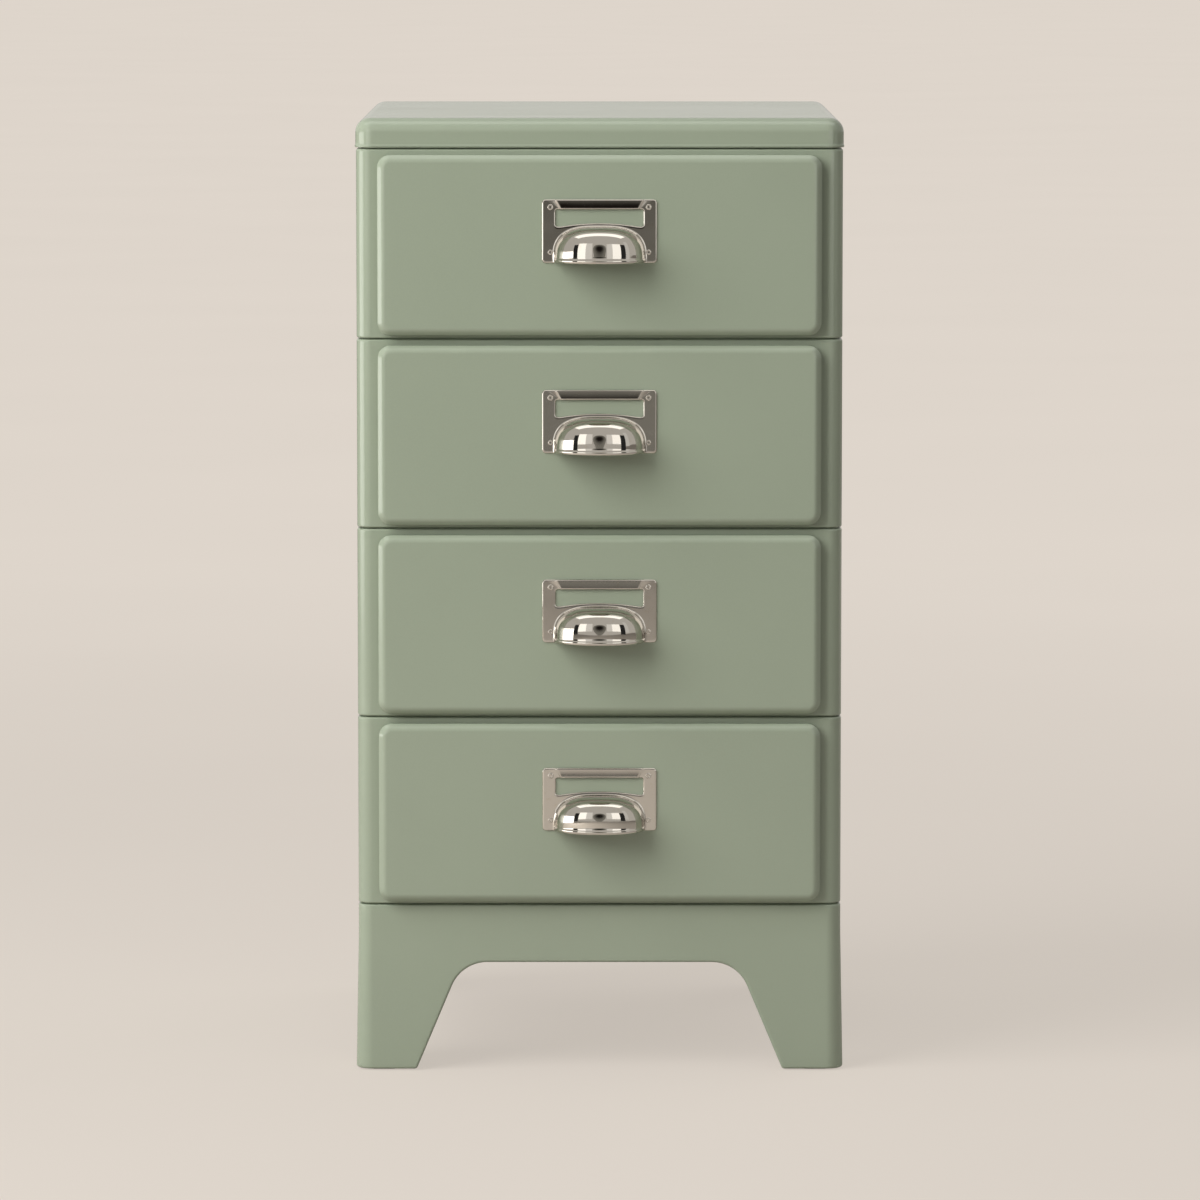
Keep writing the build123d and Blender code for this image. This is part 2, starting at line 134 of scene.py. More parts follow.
class CabinetPull(bpy.types.PropertyGroup):
    """Pull plates, cups and rivets."""

    plate_corner: size("Plate corner", "Radius of a pull plate's corners", 2.6)
    window_width: size("Window width", "Width of the card window", 61.0)
    window_height: size("Window height", "Height of the card window", 11.8)
    window_raise: size("Window raise", "Middle of the window above the middle of the plate", 9.2)
    window_span: size("Window span", "Width of the arch in the window's lower edge", 54.0)
    window_rise: size("Window rise", "How far that arch rises in the middle", 2.3)
    rim: size("Rim", "Radius of the rounded edges of the plate and its window", 1.0)
    bridge_width: size("Bridge width", "Width of the raised strip at the plate's top edge", 62.4)
    bridge_lift: size("Bridge lift", "How far that strip stands out of the plate", 1.0)
    cup_wall: size("Cup wall", "Thickness of a cup", 1.1)
    cup_fillet: size("Cup fillet", "Radius where a cup runs out into its plate", 1.5)
    lip: size("Lip", "Height of the rolled lip along a cup's lower edge", 3.0)
    rivet_radius: size("Rivet radius", "Radius of a hollow rivet's head", 2.1)


class CabinetFinish(bpy.types.PropertyGroup):
    """Colours and finishes."""

    paint: tint("Paint", "Powder coat of all painted sheet", (0.344, 0.394, 0.292))
    paint_roughness: share("Paint roughness", "Roughness of the powder coat", 0.18)
    nickel: tint("Nickel", "Polished nickel of the pulls", (0.56, 0.53, 0.48))
    zinc: tint("Zinc", "Zinc plate of the runners and bolts", (0.50, 0.51, 0.53))
    nylon: tint("Nylon", "Shoes in the runners", (0.75, 0.73, 0.66))
    rubber: tint("Glides", "Plastic glides under the feet", (0.012, 0.012, 0.012))
    backdrop: tint("Backdrop", "Floor and background", (0.730, 0.665, 0.597))


# ---- shader arithmetic
def math_on(operation, swapped=False):
    """A method that puts a Math node on two values, the second one first if swapped."""

    def apply(self, other):
        pair = (other, self) if swapped else (self, other)
        return self.graph.add("ShaderNodeMath", {"operation": operation}, dict(enumerate(pair)))

    return apply


class Value:
    """A shader socket; arithmetic on it adds Math nodes to its graph."""

    def __init__(self, graph, socket):
        self.graph, self.socket = graph, socket

    __add__ = __radd__ = math_on("ADD")
    __mul__ = __rmul__ = math_on("MULTIPLY")
    __sub__, __rsub__ = math_on("SUBTRACT"), math_on("SUBTRACT", swapped=True)


class Graph:
    """The nodes of one material or world."""

    def __init__(self, owner):
        owner.use_nodes = True
        self.tree = owner.node_tree
        self.tree.nodes.clear()

    def add(self, kind, settings=None, sockets=None, output=0):
        """Adds a node: its settings first, then the values or links of its sockets."""
        node = self.tree.nodes.new(kind)
        for name, setting in (settings or {}).items():
            setattr(node, name, setting)
        for name, given in (sockets or {}).items():
            socket = node.inputs[name]
            if isinstance(given, Value):
                self.tree.links.new(given.socket, socket)
            elif given is not None:
                socket.default_value = given
        return Value(self, node.outputs[output]) if node.outputs else None

    def place(self):
        """Position on the piece, in metres."""
        return self.add("ShaderNodeTexCoord", output="Object")

    def noise(self, scale, detail=2.0, roughness=0.5, stretch=None):
        """Noise between 0 and 1, with its scale per metre."""
        place = self.place()
        if stretch:
            place = self.add("ShaderNodeMapping", sockets={"Vector": place, "Scale": stretch})
        given = {"Vector": place, "Scale": scale, "Detail": detail, "Roughness": roughness}
        return self.add("ShaderNodeTexNoise", sockets=given)

    def blend(self, factor, first, second):
        """Mix of two colours."""
        colours = [c if isinstance(c, Value) else (*c, 1.0) for c in (first, second)]
        sockets = {0: factor, 6: colours[0], 7: colours[1]}
        return self.add("ShaderNodeMix", {"data_type": "RGBA"}, sockets, output=2)

    def between(self, value, low, high, to_low=0.0, to_high=1.0):
        """Value carried smoothly from one range to another."""
        limits = {"From Min": low, "From Max": high, "To Min": to_low, "To Max": to_high}
        smooth = {"interpolation_type": "SMOOTHSTEP"}
        return self.add("ShaderNodeMapRange", smooth, {"Value": value, **limits})

    def fold(self):
        """1 on bends and rolled edges, 0 on flat sheet."""
        return self.add("ShaderNodeAttribute", {"attribute_name": "bend"}, output="Fac")

    def bump(self, height, distance, under=None):
        """Normal of a height map that is distance metres deep, on top of another bump."""
        sockets = {"Height": height, "Distance": distance, "Strength": 1.0, "Normal": under}
        return self.add("ShaderNodeBump", sockets=sockets)

    def ray(self, kind):
        """1 where the surface is met by rays of a kind."""
        return self.add("ShaderNodeLightPath", output=f"Is {kind} Ray")

    def glow(self, colour, strength=1.0):
        return self.add("ShaderNodeEmission", sockets={"Color": colour, "Strength": strength})

    def end(self, shader):
        self.add("ShaderNodeOutputMaterial", sockets={"Surface": shader})

    def surface(self, **sockets):
        """Ends the graph in a Principled surface."""
        names = {name.replace("_", " ").title(): given for name, given in sockets.items()}
        self.end(self.add("ShaderNodeBsdfPrincipled", sockets=names))


def shade(colour, factor):
    """A colour made lighter or darker, by one factor or by one for each of its parts."""
    return tuple(min(1.0, c) for c in np.multiply(colour, factor).tolist())


def paint_finish(g, colour):
    """Smooth powder coat: fine orange peel, faint clouding, and a thinner film over bends."""
    clouds = g.between(g.noise(7.0, 3.0), 0.3, 0.7)
    grain = g.between(g.noise(900.0, 1.0), 0.25, 0.75)
    edge = g.fold()
    worn = g.between(g.noise(60.0, 4.0, 0.65), 0.5, 0.75) * edge
    base = g.blend(clouds, shade(colour, 0.985), shade(colour, 1.015))
    base = g.blend(grain * 0.25, base, shade(colour, 1.06))
    base = g.blend(worn * 0.35, base, shade(colour, 1.14))
    rough = bpy.context.scene.cabinet_finish.paint_roughness
    rough = rough + (clouds - 0.5) * 0.03 + (grain - 0.5) * 0.04 - edge * 0.05
    peel = g.noise(520.0, 1.5, 0.4)
    normal = g.bump(peel, 0.000012, g.bump(g.noise(70.0, 1.0), 0.00002))
    film = {"coat_weight": 0.12, "coat_roughness": 0.08}
    g.surface(base_color=base, roughness=rough, normal=normal, **film)


def nickel_finish(g, colour):
    """Polished nickel: faint haze, warm tarnish in spots and a slightly uneven pressed surface."""
    haze = g.between(g.noise(110.0, 4.0, 0.6), 0.4, 0.75)
    tarnish = g.between(g.noise(260.0, 3.0), 0.55, 0.8)
    base = g.blend(tarnish * 0.5, colour, shade(colour, (0.93, 0.89, 0.82)))
    rough = 0.035 + haze * 0.05 + tarnish * 0.03
    scratches = g.noise(1500.0, 2.0, 0.5, stretch=(0.15, 1.0, 1.0))
    normal = g.bump(scratches, 0.0000012, g.bump(g.noise(75.0, 0.0), 0.00004))
    g.surface(base_color=base, metallic=1.0, roughness=rough, normal=normal)


def zinc_finish(g, colour):
    """Bright zinc plate: drawn lines along the runners and a mottled, faintly warm passivation."""
    drawn = g.noise(1400.0, 3.0, 0.6, stretch=(1.0, 0.02, 1.0))
    mottle = g.between(g.noise(45.0, 5.0, 0.6), 0.35, 0.7)
    base = g.blend(mottle * 0.6, colour, shade(colour, (1.04, 1.0, 0.86)))
    rough = 0.26 + mottle * 0.12 + (drawn - 0.5) * 0.18
    g.surface(base_color=base, metallic=0.95, roughness=rough, normal=g.bump(drawn, 0.00001))


def nylon_finish(g, colour):
    """Natural nylon with a greyed, polished running face."""
    smear = g.between(g.noise(180.0, 4.0, 0.6, stretch=(1.0, 0.3, 1.0)), 0.45, 0.8)
    base = g.blend(smear * 0.5, colour, (0.48, 0.46, 0.42))
    grain = g.bump(g.noise(900.0, 2.0), 0.00001)
    g.surface(base_color=base, roughness=0.5 - smear * 0.16, normal=grain)


def rubber_finish(g, colour):
    """Black moulded plastic with a fine spark-eroded grain and a grey scuff."""
    scuff = g.between(g.noise(300.0, 4.0, 0.7), 0.5, 0.8)
    base = g.blend(scuff * 0.6, colour, (0.06, 0.06, 0.058))
    grain = g.bump(g.noise(2500.0, 1.0), 0.00002)
    g.surface(base_color=base, roughness=0.5 + scuff * 0.25, normal=grain)


FINISHES = {
    "body_paint": (paint_finish, "paint"),
    "pull_nickel": (nickel_finish, "nickel"),
    "runner_zinc": (zinc_finish, "zinc"),
    "shoe_nylon": (nylon_finish, "nylon"),
    "glide_plastic": (rubber_finish, "rubber"),
}


def material_for(slot):
    """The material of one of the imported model's slots, made the first time it is asked for."""
    name = f"finish_{slot}"
    material = bpy.data.materials.get(name)
    if material is None:
        material = bpy.data.materials.new(name)
        finish, colour = FINISHES[slot]
        finish(Graph(material), tuple(getattr(bpy.context.scene.cabinet_finish, colour)))
    return material


# ---- sections of folded sheet
def on_circle(angles):
    """Unit vectors at the given angles: their cosine and sine."""
    return np.stack([np.cos(angles), np.sin(angles)], axis=-1)


def left_of(ways):
    """Vectors turned a quarter to the left: minus the second part, then the first."""
    return np.stack([-ways[..., 1], ways[..., 0]], axis=-1)


def ridge(count):
    """0 at both ends of a bend and 1 in its middle: the root of a half sine wave."""
    return np.sin(np.linspace(0, pi, count)) ** 0.5


def fold(points, bends, thickness, steps, land=0.4 * MM):
    """Section of folded sheet: its outer face, its inner face, and 1 along each bend.

    The outer face runs through the points, with an arc at each that has a radius: centre + radius *
    spoke, where the spoke turns through the bend's angle. The sheet lies on the left of the face's
    direction, so the inner face is outer - normal * thickness. A short straight land on both sides
    of a bend keeps the shading of the flats level.
    """
    points = np.asarray(points, float)
    runs = np.diff(points, axis=0)
    along = runs / np.linalg.norm(runs, axis=1, keepdims=True)
    right = -left_of(along)
    flat = np.zeros(1)
    parts = [(points[:1], right[:1], flat)]
    for i, radius in enumerate(bends):
        corner, before, after = points[i + 1], along[i], along[i + 1]
        turn = np.arctan2(before[0] * after[1] - before[1] * after[0], before @ after)
        if radius == 0 or abs(turn) < 1e-6:
            mitre = (right[i] + right[i + 1]) / (1 + right[i] @ right[i + 1])
            parts.append((corner[None], mitre[None], flat))
            continue
        side = np.sign(turn)
        start = right[i] * side
        centre = corner - before * radius * np.tan(abs(turn) / 2) - start * radius
        count = max(2, round(steps * abs(turn) / (pi / 2))) + 1
        cos, sin = on_circle(np.linspace(0, turn, count)).T
        spoke = np.column_stack([cos * start[0] - sin * start[1], sin * start[0] + cos * start[1]])
        arc = centre + spoke * radius
        place = np.vstack([arc[0] - before * land, arc, arc[-1] + after * land])
        normal = np.vstack([spoke[:1], spoke, spoke[-1:]]) * side
        parts.append((place, normal, np.concatenate([flat, ridge(count), flat])))
    parts.append((points[-1:], right[-1:], flat))
    outer, normal, bent = (np.concatenate(part) for part in zip(*parts))
    return outer, outer - normal * thickness, bent


def wrap(section, ends="first"):
    """Rows of a folded section: out along one face and back along the other.

    They begin and end at the section's first or last point, where the sheet can go on as a flat.
    """
    outer, inner, bent = section
    if ends == "last":
        return np.vstack([inner[::-1], outer]), np.concatenate([bent[::-1], bent])
    return np.vstack([outer, inner[::-1]]), np.concatenate([bent, bent[::-1]])


class Columns:
    """Columns of points round a rounded rectangle, anticlockwise from its far right corner.

    A column is a corner's centre plus its outward normal times a radius. Extra ones stand on the
    straight sides, at the given distances from each side's middle.
    """

    def __init__(self, steps, land=0.6 * MM, stations=None):
        rows = []
        for quarter in range(4):
            turn = quarter * pi / 2
            angles = turn + (np.linspace(0, pi / 2, steps + 1) if steps else np.array([pi / 4]))
            slides = np.zeros(len(angles))
            if land:
                angles = np.concatenate([[turn], angles, [turn + pi / 2]])
                slides = np.concatenate([[-land], slides, [land]])
            sign = np.tile(np.sign(on_circle(turn + pi / 4)), (len(angles), 1))
            normal = on_circle(angles)
            tangent = left_of(normal)
            rows.append(np.column_stack([sign, tangent * slides[:, None], normal, tangent]))
            places = np.reshape((stations or {}).get(quarter, ()), (-1, 1))
            same, normal = np.ones_like(places), np.round(on_circle(turn + pi / 2))
            side = left_of(normal)
            rows.append(np.column_stack([same * normal, places * side, same * normal, same * side]))
        table = np.vstack(rows)
        self.sign, self.slide, self.normal, self.tangent = np.split(table, 4, axis=1)
        self.count = len(table)

    def ring(self, half, radius, inset, height, along=0.0):
        """Points of the rectangle drawn in by inset: core + slide + normal * (radius - inset).

        The core is the half size less the radius, or less the inset where that is more. along moves
        a point along its side. inset, height and along are rows, or rows by columns.
        """
        given = (np.atleast_1d(np.asarray(a, float)) for a in (inset, height, along))
        given = (a[:, None] if a.ndim == 1 else a for a in given)
        *given, _ = np.broadcast_arrays(*given, np.zeros((1, self.count)))
        inset, height, along = (a[..., None] for a in given)
        core = half - np.maximum(radius, inset)
        keep = np.maximum(radius - inset, 0.0)
        flat = self.sign * core + self.slide + self.normal * keep + self.tangent * along
        return np.concatenate([flat, height], axis=-1)


def set_down(s, height, way):
    """A flange from its free edge to just behind its bend, where it is set down by the seam gap."""
    start, stop = 3.6 * MM, 3.0 * MM
    return [(s.flange, height), (start, height), (stop, height + way * s.seam_gap)]


# ---- pieces
def put(name, data):
    """A new object in the scene."""
    thing = bpy.data.objects.new(name, data)
    bpy.context.scene.collection.objects.link(thing)
    return thing


def level(middle_y):
    """Carries a local grid to the cabinet, with its third axis up."""
    return lambda grid: grid + np.array([0.0, middle_y, 0.0])


def facing(front_y, middle_z):
    """Carries a local grid to the front: right, up and out towards the viewer."""
    start = np.array([0.0, front_y, middle_z])
    return lambda grid: start + grid[..., [0, 2, 1]] * (1, -1, 1)


def turned(x, y, profile, sides):
    """Rings round an axis at x, y: radius * (cos, sin) of the turn, at each profile height."""
    radius, height = np.hsplit(np.asarray(profile), 2)
    flat = radius[:, None] * on_circle(np.linspace(0, 2 * pi, sides + 1)[:-1]) + (x, y)
    return np.concatenate([flat, height[:, None] * np.ones((1, sides, 1))], axis=-1)


class Work:
    """Gathers grids of points and their faces, then turns them into one piece."""

    def __init__(self, carry):
        self.carry = carry
        self.points, self.faces, self.bent, self.total = [], [], [], 0

    def add(self, grid, bent=0.0, close_rows=False, close_columns=True, caps=False, drop=None):
        """Adds a grid; caps closes its first and last row, and drop picks faces to leave out.

        A face's corners are row * columns + column, with the next row and column wrapped round.
        """
        rows, columns = grid.shape[:2]
        r = np.arange(rows if close_rows else rows - 1)[:, None]
        c = np.arange(columns if close_columns else columns - 1)
        here, below, right = r * columns, (r + 1) % rows * columns, (c + 1) % columns
        faces = np.stack([here + c, here + right, below + right, below + c], axis=-1)
        placed = self.carry(grid)
        if drop is not None:
            faces = faces[~drop(placed.reshape(-1, 3)[faces].mean(axis=2))]
        faces = (faces.reshape(-1, 4) + self.total).tolist()
        if caps:
            first = list(range(self.total, self.total + columns))
            faces += [first[::-1], [i + (rows - 1) * columns for i in first]]
        weight = np.asarray(bent, float)
        weight = weight[:, None] if weight.ndim == 1 else weight
        self.points.append(placed.reshape(-1, 3))
        self.bent.append(np.broadcast_to(weight, (rows, columns)).ravel())
        self.faces += faces
        self.total += rows * columns

    def plate(self, outline, low, high):
        """A flat plate: its outline on the first two axes, between two places on the third."""
        ends = [np.column_stack([outline, np.full(len(outline), place)]) for place in (low, high)]
        self.add(np.stack(ends), caps=True)

    def block(self, x, y, z):
        """A strip of sheet between limits on each axis, in the piece's own axes."""
        self.plate([(x[0], y[0]), (x[1], y[0]), (x[1], y[1]), (x[0], y[1])], *z)

    def piece(self, name, slot, node=None, drawer=None, smooth=32.0):
        """The mesh object: doubles merged, faces outwards, smooth but for edges that turn more.

        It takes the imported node's place, and rides on that drawer, or else on the carcass.
        """
        mesh = bpy.data.meshes.new(name)
        mesh.from_pydata(np.vstack(self.points).tolist(), [], self.faces)
        bent = mesh.attributes.new("bend", "FLOAT", "POINT")
        bent.data.foreach_set("value", np.concatenate(self.bent).astype(np.float32))
        shape = bmesh.new()
        shape.from_mesh(mesh)
        bmesh.ops.remove_doubles(shape, verts=shape.verts, dist=2e-6)
        bmesh.ops.dissolve_degenerate(shape, edges=shape.edges, dist=1e-7)
        bmesh.ops.recalc_face_normals(shape, faces=shape.faces)
        shape.to_mesh(mesh)
        shape.free()
        mesh.shade_smooth()
        mesh.set_sharp_from_angle(angle=radians(smooth))
        thing = put(name, mesh)
        mesh.materials.append(material_for(slot))
        body = f"drawer_{drawer}" if drawer else "carcass"
        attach(thing, body)
        if node:
            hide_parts(node)


def pan(name, node, drawer, rows, carry, half, radius, steps):
    """A painted piece: rows of folded sheet round a rounded rectangle, closed by their flat."""
    (places, bent), work = rows, Work(carry)
    work.add(Columns(steps).ring(half, radius, *places.T), bent, caps=True)
    work.piece(name, "body_paint", node, drawer)


class CabinetOperator:
    """What the operators share."""

    bl_options = {"REGISTER", "UNDO"}

    @property
    def sheet(self):
        return bpy.context.scene.cabinet_sheet

    @property
    def pull(self):
        return bpy.context.scene.cabinet_pull


# ---- carcass
class CABINET_OT_lid(CabinetOperator, bpy.types.Operator):
    """Presses the lid: a flat top rolled over into its sides and turned in over the top case"""

    bl_idname = "cabinet.lid"
    bl_label = "Lid"

    def execute(self, context):
        s = self.sheet
        wide, deep, middle_y, low, high = span("top_lid")
        edge = low + s.seam_gap
        bead_foot, bead_top = edge + 1.4 * MM, edge + 2.4 * MM
        points = [(s.lid_crown + 4 * MM, high), (0, high), (0, bead_top), (-s.bead, bead_foot)]
        points += [(-s.bead, edge), *set_down(s, low, 1)[::-1]]
        bends = [s.lid_crown, 0.8 * MM, 0.8 * MM, 0.6 * MM, 0, 0]
        rows = wrap(fold(points, bends, s.heavy_sheet, steps=14))
        carry, half = level(middle_y), (wide, deep)
        pan("lid_skin", "top_lid", None, rows, carry, half, s.lid_corner, steps=18)
        return {"FINISHED"}


def case(s, number):
    """The walls with their mouth left open, the frame behind it, and the rear brackets."""
    node = f"case_{number}"
    wide, deep, middle_y, low, high = span(node)
    lap, rail, stile = 4 * MM, 11 * MM, 26 * MM
    across, up = s.opening_width / 2, s.opening_height / 2
    sill = low + s.opening_sill
    wall = [high - s.seam_gap, sill + 2 * up + lap, sill - lap, low + s.seam_gap]
    wall = [(0, height) for height in wall]
    points = [*set_down(s, high, -1), *wall, *set_down(s, low, 1)[::-1]]
    bends = [0, 0, s.seam_bend, 0, 0, s.seam_bend, 0, 0]
    rows, bent = wrap(fold(points, bends, s.sheet, steps=7))
    work = Work(level(middle_y))
    columns = Columns(steps=14, stations={2: [-across - lap, across + lap]})
    grid = columns.ring((wide, deep), s.case_corner, *rows.T)
    behind_front = middle_y - deep + 3 * MM

    def mouth(middles):
        """True for the faces of the front wall that lie within the opening."""
        x, y, z = np.moveaxis(middles, -1, 0)
        return (abs(x) < across) & (y < behind_front) & (abs(z - sill - up) < up)

    work.add(grid, bent, close_rows=True, drop=mouth)

    work.carry = facing(middle_y - deep, sill + up)
    frame_edge = fold([(0, -rail), (0, 0), (-lap, 0)], [s.seam_bend], s.sheet, 6, land=0.0)
    rows, bent = (part[::-1] for part in wrap(frame_edge, "last"))
    square = Columns(steps=0, land=0.0)
    work.add(square.ring((across, up), -1.0, *rows.T), bent)
    clear, back = 1.2 * MM, -2 * deep
    height = (low - sill - up + clear, high - sill - up - clear)
    bracket = (back + 1 * MM, back + 32 * MM)
    for side in (-1, 1):
        edge = sorted((side * across, side * (across + s.sheet)))
        work.block(edge, (-up, up), (-stile, -rail))
        work.block(edge, height, bracket)
    work.piece(f"case_skin_{number}", "body_paint", node)


class CABINET_OT_cases(CabinetOperator, bpy.types.Operator):
    """Folds the cases: wrapped walls with seam edges, and an opening turned back into the case"""

    bl_idname = "cabinet.cases"
    bl_label = "Cases"

    def execute(self, context):
        for number in NUMBERS:
            case(self.sheet, number)
        return {"FINISHED"}


def arch_edge(b, half, bend, low):
    """Places along one side (distance from its middle, height), and the way out of the sheet.

    The edge of the sheet, drawn in by the bend: level over the arch, round its shoulder, down
    the leg's sloping edge, and round on to the foot: one half, and its mirror image.
    """
    toe, step = 2.5 * MM, 1 * MM
    lean = on_circle(b.arch_slope)
    foot = half + b.flare - b.leg_width
    straight = b.arch_height - b.arch_round
    shoulder = np.array([foot - (b.arch_round + straight * lean[1]) / lean[0], straight])
    ankle = np.array([foot + (toe - (low + toe) * lean[1]) / lean[0], low + toe])
    spokes = on_circle(np.linspace(pi / 2, b.arch_slope, 19))
    crown = shoulder + spokes * (b.arch_round + bend)
    sweep = on_circle(np.linspace(b.arch_slope + pi, 1.5 * pi, 9))
    toes = ankle + sweep * (toe - bend)
    flank = np.array([0.01, 0.2, 0.4, 0.6, 0.8, 0.99])[:, None]
    slope = crown[-1] + (toes[0] - crown[-1]) * flank
    level_run = [(0.0, crown[0, 1]), (crown[0, 0] - step, crown[0, 1])]
    down = np.array([(0.0, -1.0)])
    places = np.vstack([level_run, crown, slope, toes, toes[-1:] + (step, 0.0)])
    ways = np.vstack([down, down, -spokes, np.tile(-lean, (len(slope), 1)), sweep, down])
    flip = (-1.0, 1.0)
    return np.vstack([places[:0:-1] * flip, places]), np.vstack([ways[:0:-1] * flip, ways])


class CABINET_OT_base(CabinetOperator, bpy.types.Operator):
    """Forms the legged base: a flared skirt, a hemmed arch in every side, and foot plates"""

    bl_idname = "cabinet.base"
    bl_label = "Base"

    def execute(self, context):
        s, b = self.sheet, context.scene.cabinet_base
        _, _, middle_y, low, high = span("base")
        wide, deep, *_ = span("case_1")
        bend, sheet = 1.8 * MM, s.heavy_sheet

        arches = [arch_edge(b, half, bend, low) for half in (wide, deep, wide, deep)]
        columns = Columns(14, stations={i: places[:, 0] for i, (places, _) in enumerate(arches)})
        corner = columns.count // 4 - len(arches[0][0])
        sole, down = np.full(corner, low + bend), np.tile([0.0, -1.0], (corner, 1))
        edge = np.concatenate([part for places, _ in arches for part in (sole, places[:, 1])])
        out = np.concatenate([part for _, ways in arches for part in (down, ways)])

        def flare(height):
            """Outward growth: falls in a straight line to 0 at flare_start, eased in there."""
            within, ease = 0.999, 0.04
            fall = (b.flare_start - height) / b.flare_start
            return -within * b.flare * (fall + np.sqrt(fall**2 + ease**2)) / 2

        def turn(radius, angles):
            """Rows of a bend at the sheet's edge, from along the skin to square to it."""
            return radius * np.sin(angles)[:, None], radius * (1 - np.cos(angles))[:, None]

        rise = np.linspace(0, 1, 22)[1:, None]
        angles = np.linspace(0, pi / 2, 9)
        rounded = ridge(len(angles))
        top = high - s.seam_gap - s.seam_bend
        grids, flags = [], []
        for outer in (True, False):
            gap = 0.0 if outer else sheet
            reach, (shift, draw) = bend - gap, turn(bend - gap, angles[::-1])
            hem_edge, curl = (edge + reach * out[:, 1])[None], edge + shift * out[:, 1]
            climb = edge + rise * (top - edge)
            over, into = turn(s.seam_bend - gap, angles[1:])
            flange, shelf = np.array(set_down(s, high - gap, -1)[::-1]).T
            face = [
                (b.hem + flare(hem_edge), hem_edge, (reach * out[:, 0])[None], np.zeros(1)),
                (gap + draw + flare(curl), curl, shift * out[:, 0], rounded),
                (gap + flare(climb), climb, 0.0, np.zeros(len(rise))),
                (gap + into, top + over, 0.0, rounded[1:]),
                (flange, shelf, 0.0, np.zeros(len(flange))),
            ]
            rows = [columns.ring((wide, deep), s.case_corner, *row[:3]) for row in face]
            order = 1 if outer else -1
            grids.append(np.concatenate(rows)[::order])
            flags.append(np.concatenate([row[3] for row in face])[::order])
        work = Work(level(middle_y))
        work.add(np.concatenate(grids), np.concatenate(flags), close_rows=True)

        far, cut = 1.3 * MM, b.foot_pad_cut
        near, under, over = far + b.foot_pad, low + 1.04 * sheet, low + 2 * sheet
        pad = [(far, far), (near, far), (near, near - cut), (near - cut, near), (far, near)]
        for way in ((1, 1), (1, -1), (-1, 1), (-1, -1)):
            outline = np.subtract((wide, deep), pad) * way
            work.plate(outline, under, over)
        work.piece("base_skin", "body_paint", "base")
        return {"FINISHED"}


# ---- drawers
class CABINET_OT_drawer_fronts(CabinetOperator, bpy.types.Operator):
    """Presses the drawer fronts: flat pans with a rolled edge and a flange behind"""

    bl_idname = "cabinet.drawer_fronts"
    bl_label = "Drawer Fronts"

    def execute(self, context):
        s = self.sheet
        for number in NUMBERS:
            node = f"drawer_front_{number}"
            low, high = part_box(node)
            slope, depth = s.front_bevel, high.y - low.y
            points = [(slope + 5 * MM, 0), (slope, 0), (0, -slope), (0, -depth)]
            points.append((s.front_land, -depth))
            bends = [s.front_roll, s.front_bend, 1.3 * MM]
            rows, name = wrap(fold(points, bends, s.sheet, steps=12)), f"drawer_front_skin_{number}"
            carry, half = facing(low.y, (high.z + low.z) / 2), (high.x, (high.z - low.z) / 2)
            pan(name, node, number, rows, carry, half, s.front_corner, steps=14)
        return {"FINISHED"}


class CABINET_OT_trays(CabinetOperator, bpy.types.Operator):
    """Folds the drawer trays, with bent floors and inturned rims"""

    bl_idname = "cabinet.trays"
    bl_label = "Trays"

    def execute(self, context):
        s = self.sheet
        for number in NUMBERS:
            node = f"drawer_tray_{number}"
            wide, deep, middle_y, low, high = span(node)
            points = [(s.tray_rim, high), (0, high), (0, low), (8 * MM, low)]
            rows = wrap(fold(points, [1.2 * MM, 2.0 * MM], s.tray_sheet, steps=5), "last")
            carry, half, corner = level(middle_y), (wide, deep), 2.5 * MM
            pan(f"tray_skin_{number}", node, number, rows, carry, half, corner, steps=5)
        return {"FINISHED"}


# ---- pulls
def outline(columns, half, radius):
    """Rounded rectangle through columns whose stations are shares of each straight side."""
    core = half - radius
    return columns.sign * core + columns.slide * core + columns.normal * radius


